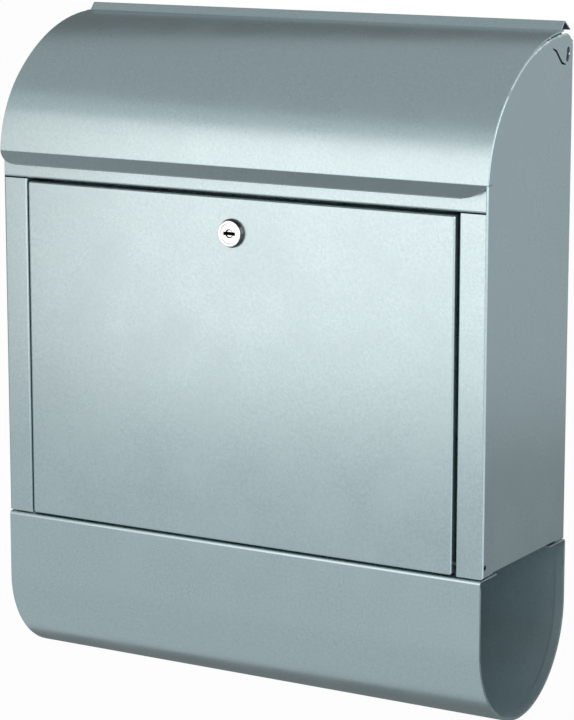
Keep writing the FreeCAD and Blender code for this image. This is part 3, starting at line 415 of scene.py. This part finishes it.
def vary_colour(material, shader, pattern, first, second):
    """Let a pattern run the base colour from one colour to another."""
    mix = material.node_tree.nodes.new("ShaderNodeMix")
    mix.data_type = "RGBA"
    material.node_tree.links.new(spread(material, pattern, 0, 1), mix.inputs["Factor"])
    mix.inputs["A"].default_value = (*first, 1)
    mix.inputs["B"].default_value = (*second, 1)
    material.node_tree.links.new(mix.outputs["Result"], shader.inputs["Base Color"])


def vary_roughness(material, shader, pattern, low, high):
    """Let a pattern run the roughness from one value to another."""
    rough = spread(material, pattern, low, high)
    material.node_tree.links.new(rough, shader.inputs["Roughness"])


def bump(material, shader, height, distance, strength):
    """Raise the surface by a height."""
    node = material.node_tree.nodes.new("ShaderNodeBump")
    node.inputs["Distance"].default_value = distance
    node.inputs["Strength"].default_value = strength
    material.node_tree.links.new(height, node.inputs["Height"])
    material.node_tree.links.new(node.outputs["Normal"], shader.inputs["Normal"])


def thread(material, shader, place, axis, pitch, height):
    """Ridges round an axis, one to each pitch."""
    wave = material.node_tree.nodes.new("ShaderNodeTexWave")
    wave.wave_type = "BANDS"
    wave.bands_direction = axis
    wave.inputs["Scale"].default_value = math.tau / WAVE_RATE / pitch
    material.node_tree.links.new(place, wave.inputs["Vector"])
    bump(material, shader, wave.outputs["Fac"], distance=height, strength=1.0)


def powder_coat(name="Silver powder coat", share=1, roughness=None):
    """Silver powder coat: metal flakes in a satin film with a faint orange peel."""
    if name in bpy.data.materials:
        return bpy.data.materials[name]
    look = finish()
    # a share below 1 darkens the coat as painted shade
    light, dark = dimmed(look.coat_colour, share), dimmed(look.coat_shade, share)
    roughness = roughness or look.coat_roughness
    material, shader, place = blank_material(name, light, look.coat_metal, roughness)
    flakes = noise(material, place, look.coat_grain, detail=3.0, roughness=0.7)
    vary_colour(material, shader, flakes, dark, light)
    patches = noise(material, place, COAT_PATCH)
    low, high = roughness - COAT_ROUGHNESS_RANGE, roughness + COAT_ROUGHNESS_RANGE
    vary_roughness(material, shader, patches, low, high)
    peel = noise(material, place, look.coat_grain * PEEL_PER_GRAIN)
    bump(material, shader, peel, PEEL_DEPTH, PEEL_STRENGTH)
    return material


def zinc_steel():
    """Zinc plated steel with a faint crystalline variation."""
    if "Zinc steel" in bpy.data.materials:
        return bpy.data.materials["Zinc steel"]
    zinc = finish().steel_colour
    material, shader, place = blank_material(
        "Zinc steel", zinc, metal=1.0, roughness=0.34)
    crystals = noise(material, place, ZINC_CRYSTAL, detail=3.0)
    vary_colour(material, shader, crystals, dimmed(zinc, share=0.82), zinc)
    vary_roughness(material, shader, crystals, low=0.28, high=0.42)
    pits = noise(material, place, size=0.4 * MM)
    bump(material, shader, pits, distance=0.02 * MM, strength=0.3)
    return material


def threaded_zinc():
    """The screws' zinc plated thread."""
    if "Threaded zinc" in bpy.data.materials:
        return bpy.data.materials["Threaded zinc"]
    zinc = finish().steel_colour
    material, shader, place = blank_material(
        "Threaded zinc", zinc, metal=1.0, roughness=0.35)
    grime = noise(material, place, size=1.5 * MM)
    vary_roughness(material, shader, grime, low=0.3, high=0.42)
    thread(material, shader, place, "Z", SCREW_PITCH, height=0.25 * MM)
    return material


def lock_chrome():
    """Polished chrome with hardly visible polishing marks."""
    if "Lock chrome" in bpy.data.materials:
        return bpy.data.materials["Lock chrome"]
    chrome = finish().chrome_colour
    material, shader, place = blank_material(
        "Lock chrome", chrome, metal=1.0, roughness=0.08)
    marks = noise(material, place, POLISHING_MARK, detail=4.0)
    vary_roughness(material, shader, marks, low=0.05, high=0.12)
    vary_colour(material, shader, marks, dimmed(chrome, share=0.94), chrome)
    return material


def chrome_with_painted_reflection():
    """The side of the lock's head: chrome darkened as a painted dark reflection."""
    if "Chrome with painted reflection" in bpy.data.materials:
        return bpy.data.materials["Chrome with painted reflection"]
    painted_dark = dimmed(finish().chrome_colour, share=0.13)
    material, shader, place = blank_material(
        "Chrome with painted reflection", painted_dark, metal=1.0, roughness=0.1)
    marks = noise(material, place, POLISHING_MARK, detail=4.0)
    vary_roughness(material, shader, marks, low=0.07, high=0.14)
    return material


def threaded_chrome():
    """The lock's chromed thread."""
    if "Threaded chrome" in bpy.data.materials:
        return bpy.data.materials["Threaded chrome"]
    chrome = finish().chrome_colour
    material, shader, place = blank_material(
        "Threaded chrome", chrome, metal=1.0, roughness=0.2)
    grime = noise(material, place, size=3 * MM)
    vary_roughness(material, shader, grime, low=0.16, high=0.3)
    thread(material, shader, place, "Y", BARREL_PITCH, height=0.3 * MM)
    return material


def keyway_painted_shade():
    """Painted shade inside the key slot and on the dish's slope, as a dark metal."""
    if "Keyway painted shade" in bpy.data.materials:
        return bpy.data.materials["Keyway painted shade"]
    material, shader, place = blank_material(
        "Keyway painted shade", KEYWAY_SHADE_COLOUR, metal=0.6, roughness=0.6)
    shade_mottle = noise(material, place, size=1.2 * MM)
    vary_colour(material, shader, shade_mottle, KEYWAY_SHADE_DARKEST, KEYWAY_SHADE_LIGHTEST)
    return material


def gap_shade_steel():
    """Steel darkened as painted shade for the door's gap, with fine drawn lines along X."""
    if "Gap shade steel" in bpy.data.materials:
        return bpy.data.materials["Gap shade steel"]
    steel = finish().gap_shade_colour
    material, shader, place = blank_material(
        "Gap shade steel", steel, metal=0.8, roughness=0.4)
    stretch = material.node_tree.nodes.new("ShaderNodeMapping")
    stretch.inputs["Scale"].default_value = (DRAWN_SHARE, 1, 1)
    material.node_tree.links.new(place, stretch.inputs["Vector"])
    lines = noise(material, stretch.outputs["Vector"], size=0.5 * MM, detail=3.0)
    vary_colour(material, shader, lines, dimmed(steel, share=0.7), steel)
    vary_roughness(material, shader, lines, low=0.33, high=0.48)
    bump(material, shader, lines, distance=0.03 * MM, strength=0.4)
    return material


# ---------------------------------------------------------------------- pieces

SHEET_NODES = [
    "back_panel", "side_panel_right", "side_panel_left", "front_fascia", "floor_panel",
]
LOCK_STEEL_NODES = ["lock_nut", "lock_cam", "cam_washer", "cam_screw"]
ROD_NODES = ["door_hinge_rod", "rod_clips"]
LID_EARS = ["lid_ear_right", "lid_ear_left"]
# the way that each pin points along X
LID_PINS = {"lid_pin_right": 1, "lid_pin_left": -1}
PIN_HEAD_LENGTH = 0.9 * MM
SCREW_HEAD_HEIGHT = 2.6 * MM
LOCK_AXIS_HEIGHT = sum(corner.z for corner in boxes_of_solids("lock_plug")[0]) / 2
TUBE_MIDDLE = sum(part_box("newspaper_tube"), Vector()) / 2
# how far the lip, and the shade painted on it, reaches up from the lid's lowest point
LIP_HEIGHT = 8 * MM
LIP_TOP = boxes_of_solids("lid_panel")[0][0].z + LIP_HEIGHT
# the lock's measures, which tell its faces apart and say where the painted shade and the
# painted reflection go
LOCK_FRONT = boxes_of_solids("lock_housing")[0][0].y
PLUG_FRONT = boxes_of_solids("lock_plug")[0][0].y
KEY_SLOT_HALF_WIDTH = 4.7 * MM
KEY_SLOT_HALF_HEIGHT = 1.2 * MM
KEY_SLOT_DEPTH = 9 * MM
DISH_RADIUS = 3.1 * MM
DISH_DEPTH = 0.7 * MM
BARREL_RADIUS = 8 * MM
BARREL_MARGIN = 0.15 * MM
HEAD_FACE_RADIUS = 8.75 * MM
HEAD_LENGTH = 3.9 * MM
FACE_MARGIN = 0.05 * MM
PLUG_SOFTNESS_SHARE = 0.25


def on_shaded_lip(face):
    """True on the lid's folded lip, where the shade is painted."""
    return face.calc_center_median().z < LIP_TOP


def inside_tube(face):
    """True on the faces that look towards the middle of the newspaper tube."""
    inwards = TUBE_MIDDLE - face.calc_center_median()
    inwards.x = 0
    return face.normal.dot(inwards) > FACE_MARGIN


def from_lock_axis(point):
    """The distance of a point from the lock's axis."""
    return math.hypot(point.x, point.z - LOCK_AXIS_HEIGHT)


def in_keyway_shade(face):
    """True inside the plug's key slot and on the slope of the dish round it, where the shade is
    painted.
    """
    point = face.calc_center_median()
    depth = point.y - PLUG_FRONT
    in_height = abs(point.z - LOCK_AXIS_HEIGHT) <= KEY_SLOT_HALF_HEIGHT + FACE_MARGIN
    in_width = abs(point.x) <= KEY_SLOT_HALF_WIDTH + FACE_MARGIN
    in_slot = in_height and in_width and FACE_MARGIN < depth < KEY_SLOT_DEPTH + FACE_MARGIN
    in_dish = from_lock_axis(point) < DISH_RADIUS
    on_slope = in_dish and FACE_MARGIN < depth < DISH_DEPTH - FACE_MARGIN
    return in_slot or on_slope


def housing_zone(face):
    """Which of the housing's materials a face has: front, barrel thread or head's side, the
    last with a painted dark reflection.
    """
    point = face.calc_center_median()
    radius = from_lock_axis(point)
    if abs(radius - BARREL_RADIUS) < BARREL_MARGIN:
        return 1
    depth = point.y - LOCK_FRONT
    on_side = FACE_MARGIN < depth < HEAD_LENGTH - FACE_MARGIN
    return 2 if on_side and radius > HEAD_FACE_RADIUS else 0


class MAILBOX_OT_box_sheets(bpy.types.Operator):
    """Coat the fixed sheets of the box and the newspaper tube"""

    bl_idname = "mailbox.box_sheets"
    bl_label = "Box sheets"

    def execute(self, context):
        look = finish()
        for node in SHEET_NODES:
            coated_sheet(node, powder_coat())
        inner_coat = powder_coat("Inner powder coat", roughness=look.inner_roughness)
        softened(
            "newspaper_tube", [powder_coat(), inner_coat], look.edge_softness, inside_tube)
        return {"FINISHED"}


class MAILBOX_OT_door_sheet(bpy.types.Operator):
    """Coat the front door"""

    bl_idname = "mailbox.door_sheet"
    bl_label = "Door sheet"

    def execute(self, context):
        coated_sheet("door_panel", powder_coat())
        return {"FINISHED"}


class MAILBOX_OT_lid_sheet(bpy.types.Operator):
    """Coat the curved lid and its hinge ears, with shade painted on the lip and on the ears"""

    bl_idname = "mailbox.lid_sheet"
    bl_label = "Lid sheet"

    def execute(self, context):
        look = finish()
        # the lip's darker coat is painted shade
        lip_shade_coat = powder_coat("Lip coat with painted shade", look.lip_shade_share)
        softened("lid_panel", [powder_coat(), lip_shade_coat], look.lid_softness, on_shaded_lip)
        # the ears' darker coat is painted shade
        for node in LID_EARS:
            coated_sheet(node, powder_coat("Ear coat with painted shade", look.ear_shade_share))
        return {"FINISHED"}


class MAILBOX_OT_cam_lock(bpy.types.Operator):
    """Finish the cam lock"""

    bl_idname = "mailbox.cam_lock"
    bl_label = "Cam lock"

    def execute(self, context):
        softness = finish().metal_softness
        # the head's side takes chrome darkened as a painted dark reflection
        chromes = [lock_chrome(), threaded_chrome(), chrome_with_painted_reflection()]
        softened("lock_housing", chromes, softness, housing_zone)
        # the key slot and the dish's slope take painted shade
        plug_chrome_and_shade = [lock_chrome(), keyway_painted_shade()]
        softened("lock_plug", plug_chrome_and_shade, softness * PLUG_SOFTNESS_SHARE, in_keyway_shade)
        for node in LOCK_STEEL_NODES:
            softened(node, [zinc_steel()], softness)
        return {"FINISHED"}


class MAILBOX_OT_hinges(bpy.types.Operator):
    """Finish the door rod and its clips, and make the lid's domed pins"""

    bl_idname = "mailbox.hinges"
    bl_label = "Hinges"

    def execute(self, context):
        for node in ROD_NODES:
            # the rod and its clips are darkened as painted shade
            softened(node, [gap_shade_steel()], finish().metal_softness)
        for node, inward in LID_PINS.items():
            bm = bmesh.new()
            domed_pin(bm, *boxes_of_solids(node)[0], PIN_HEAD_LENGTH, inward)
            new_piece(node, bm, [zinc_steel()])
        return {"FINISHED"}


class MAILBOX_OT_fasteners(bpy.types.Operator):
    """Make the tube's pan-head screws and finish its nuts"""

    bl_idname = "mailbox.fasteners"
    bl_label = "Fasteners"

    def execute(self, context):
        bm = bmesh.new()
        for low, high in boxes_of_solids("tube_screws"):
            pan_screw(bm, low, high, SCREW_HEAD_HEIGHT)
        seat = max(vert.co.z for vert in bm.verts) - SCREW_HEAD_HEIGHT
        for face in bm.faces:
            face.material_index = int(face.calc_center_median().z < seat)
        new_piece("tube_screws", bm, [zinc_steel(), threaded_zinc()])
        softened("tube_nuts", [zinc_steel()], finish().metal_softness)
        return {"FINISHED"}


# ----------------------------------------------------------------------- stage

# the cards round the mailbox: degrees to the left of the front and degrees up, then
# the distance, width and height in metres, and the brightness
CARDS = {
    "low_card": (15, -52, 0.56, 2.2, 0.84, 0.61),
    "upper_card": (20, 43, 0.98, 1.3, 0.34, 0.68),
    "high_card": (45, 79, 0.95, 2.4, 1.75, 0.45),
    "rear_high_card": (140, 34, 1.0, 2.0, 0.6, 0.17),
    "rear_left_card": (140, 0, 1.0, 1.6, 0.55, 0.12),
    "left_card": (72.3, 0, 0.87, 1.2, 1.3, 0.5),
    "rear_right_card": (-150, 6, 1.2, 1.2, 0.86, 0.47),
    "rear_right_low_card": (-150, -28, 1.1, 1.2, 0.6, 0.27),
    "right_low_card": (-75, -35, 1.1, 1.2, 0.7, 1.1),
    "right_card": (-75, 22, 1.0, 1.2, 0.7, 2.6),
    "under_card": (-165, -62, 0.72, 2.2, 1.0, 0.2),
}
FLOOR_SIZE = 40
# what share of the floor's look is plain white, the rest taking its shadow
FLOOR_WHITE_SHARE = 0.97
FAR_CLIP = 100


def plane(name, place, facing, width, height, material, seen):
    """A rectangular stage panel at a place, facing a direction."""
    bm = bmesh.new()
    bmesh.ops.create_grid(bm, x_segments=1, y_segments=1, size=0.5)
    turn = Vector(facing).to_track_quat("Z", "Y").to_matrix().to_4x4()
    shape = Matrix.Translation(place) @ turn @ Matrix.Diagonal((width, height, 1, 1))
    bmesh.ops.transform(bm, matrix=shape, verts=bm.verts)
    mesh = bpy.data.meshes.new(name)
    bm.to_mesh(mesh)
    bm.free()
    panel = bpy.data.objects.new(name, mesh)
    bpy.context.scene.collection.objects.link(panel)
    mesh.materials.append(material)
    panel.visible_camera = seen


def mailbox_middle():
    """The middle of the mailbox's box."""
    return (FRAME_LOW + FRAME_HIGH) / 2


def direction(turn, rise):
    """A direction from the mailbox: turn to the left of the front, rise above the level."""
    level = math.cos(rise)
    return Vector((-math.sin(turn) * level, -math.cos(turn) * level, math.sin(rise)))


def background_rays(tree):
    """1 for the rays that show the white background."""
    path = tree.nodes.new("ShaderNodeLightPath")
    total = path.outputs["Is Camera Ray"]
    for name in ("Is Glossy Ray", "Is Transmission Ray"):
        larger = tree.nodes.new("ShaderNodeMath")
        larger.operation = "MAXIMUM"
        tree.links.new(total, larger.inputs[0])
        tree.links.new(path.outputs[name], larger.inputs[1])
        total = larger.outputs["Value"]
    return total


def floor_material():
    """Pale floor that shows almost white and keeps a soft shadow."""
    material = bpy.data.materials.new("Pale floor")
    material.use_nodes = True
    tree = material.node_tree
    shader = tree.nodes["Principled BSDF"]
    shader.inputs["Base Color"].default_value = (*studio().floor_colour, 1)
    shader.inputs["Roughness"].default_value = 0.9
    glow = tree.nodes.new("ShaderNodeEmission")
    glow.inputs["Strength"].default_value = 1.0
    mix = tree.nodes.new("ShaderNodeMixShader")
    share = tree.nodes.new("ShaderNodeMath")
    share.operation = "MULTIPLY"
    share.inputs[1].default_value = FLOOR_WHITE_SHARE
    tree.links.new(background_rays(tree), share.inputs[0])
    tree.links.new(share.outputs["Value"], mix.inputs["Fac"])
    tree.links.new(shader.outputs["BSDF"], mix.inputs[1])
    tree.links.new(glow.outputs["Emission"], mix.inputs[2])
    tree.links.new(mix.outputs["Shader"], tree.nodes["Material Output"].inputs["Surface"])
    return material


def card(name, turn, rise, distance, width, height, brightness):
    """A card round the mailbox, which shows only by its light and in reflections."""
    material = bpy.data.materials.new(name)
    material.use_nodes = True
    tree = material.node_tree
    glow = tree.nodes.new("ShaderNodeEmission")
    glow.inputs["Color"].default_value = (*studio().card_colour, 1)
    glow.inputs["Strength"].default_value = brightness
    tree.links.new(glow.outputs["Emission"], tree.nodes["Material Output"].inputs["Surface"])
    way = direction(math.radians(turn), math.radians(rise))
    plane(name, mailbox_middle() + way * distance, -way, width, height, material, False)


def softbox(name, place, aim, width, height, brightness, colour):
    """A rectangular softbox that isn't seen by the camera."""
    light = bpy.data.lights.new(name, "AREA")
    light.shape = "RECTANGLE"
    light.size = width
    light.size_y = height
    light.energy = brightness * math.pi * width * height
    light.color = colour
    lamp = bpy.data.objects.new(name, light)
    bpy.context.scene.collection.objects.link(lamp)
    lamp.location = place
    lamp.rotation_mode = "QUATERNION"
    lamp.rotation_quaternion = (Vector(aim) - Vector(place)).to_track_quat("-Z", "Y")
    lamp.visible_camera = False


def world_light(ambient, colour):
    """White for what shows the background, an even ambient light for the rest."""
    world = bpy.data.worlds.new("Studio")
    bpy.context.scene.world = world
    world.use_nodes = True
    tree = world.node_tree
    backdrop = tree.nodes["Background"]
    backdrop.inputs["Color"].default_value = (1, 1, 1, 1)
    even = tree.nodes.new("ShaderNodeBackground")
    even.inputs["Color"].default_value = (*colour, 1)
    even.inputs["Strength"].default_value = ambient
    mix = tree.nodes.new("ShaderNodeMixShader")
    tree.links.new(background_rays(tree), mix.inputs["Fac"])
    tree.links.new(even.outputs["Background"], mix.inputs[1])
    tree.links.new(backdrop.outputs["Background"], mix.inputs[2])
    tree.links.new(mix.outputs["Shader"], tree.nodes["World Output"].inputs["Surface"])


def place_camera():
    """The camera, to the right of the front and a little above."""
    view = studio()
    data = bpy.data.cameras.new("Camera")
    data.lens = view.lens
    data.clip_end = FAR_CLIP
    camera = bpy.data.objects.new("Camera", data)
    bpy.context.scene.collection.objects.link(camera)
    camera.location = view.camera_place
    camera.rotation_mode = "QUATERNION"
    camera.rotation_quaternion = Vector(view.camera_direction).to_track_quat("-Z", "Y")
    bpy.context.scene.camera = camera


class MAILBOX_OT_studio(bpy.types.Operator):
    """Set up the floor, the lights and the camera"""

    bl_idname = "mailbox.studio"
    bl_label = "Studio"

    def execute(self, context):
        view = studio()
        middle = mailbox_middle()
        floor = Vector((middle.x, middle.y, FRAME_LOW.z - view.floor_drop))
        plane("floor", floor, (0, 0, 1), FLOOR_SIZE, FLOOR_SIZE, floor_material(), True)
        main = middle + direction(view.softbox_turn, view.softbox_rise) * view.softbox_distance
        softbox(
            "Main softbox", main, middle, view.softbox_width, view.softbox_height,
            view.softbox_brightness, view.softbox_colour)
        for name, place in CARDS.items():
            card(name, *place)
        world_light(view.ambient, view.ambient_colour)
        place_camera()
        context.scene.view_settings.view_transform = "Standard"
        return {"FINISHED"}


# ---------------------------------------------------------------------- add-on


class MAILBOX_PT_panel(bpy.types.Panel):
    """Buttons and settings of the wall mailbox"""

    bl_idname = "MAILBOX_PT_panel"
    bl_label = "Wall Mailbox"
    bl_space_type = "VIEW_3D"
    bl_region_type = "UI"
    bl_category = "Mailbox"

    def draw(self, context):
        for operator in OPERATORS:
            self.layout.operator(operator.bl_idname)
        for settings in (finish(), studio()):
            column = self.layout.column(align=True)
            for name in settings.__annotations__:
                column.prop(settings, name)


OPERATORS = [
    MAILBOX_OT_box_sheets,
    MAILBOX_OT_door_sheet,
    MAILBOX_OT_lid_sheet,
    MAILBOX_OT_cam_lock,
    MAILBOX_OT_hinges,
    MAILBOX_OT_fasteners,
    MAILBOX_OT_studio,
]
CLASSES = [MailboxFinish, MailboxStudio, *OPERATORS, MAILBOX_PT_panel]


def register():
    """Make the settings, the operators and the panel known to Blender."""
    for one in CLASSES:
        bpy.utils.register_class(one)
    bpy.types.Scene.mailbox_finish = PointerProperty(type=MailboxFinish)
    bpy.types.Scene.mailbox_studio = PointerProperty(type=MailboxStudio)


def unregister():
    """Take them away again."""
    del bpy.types.Scene.mailbox_studio
    del bpy.types.Scene.mailbox_finish
    for one in reversed(CLASSES):
        bpy.utils.unregister_class(one)


def main():
    register()
    for operator in OPERATORS:
        group, name = operator.bl_idname.split(".")
        getattr(getattr(bpy.ops, group), name)()
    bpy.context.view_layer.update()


if __name__ == "__main__":
    main()
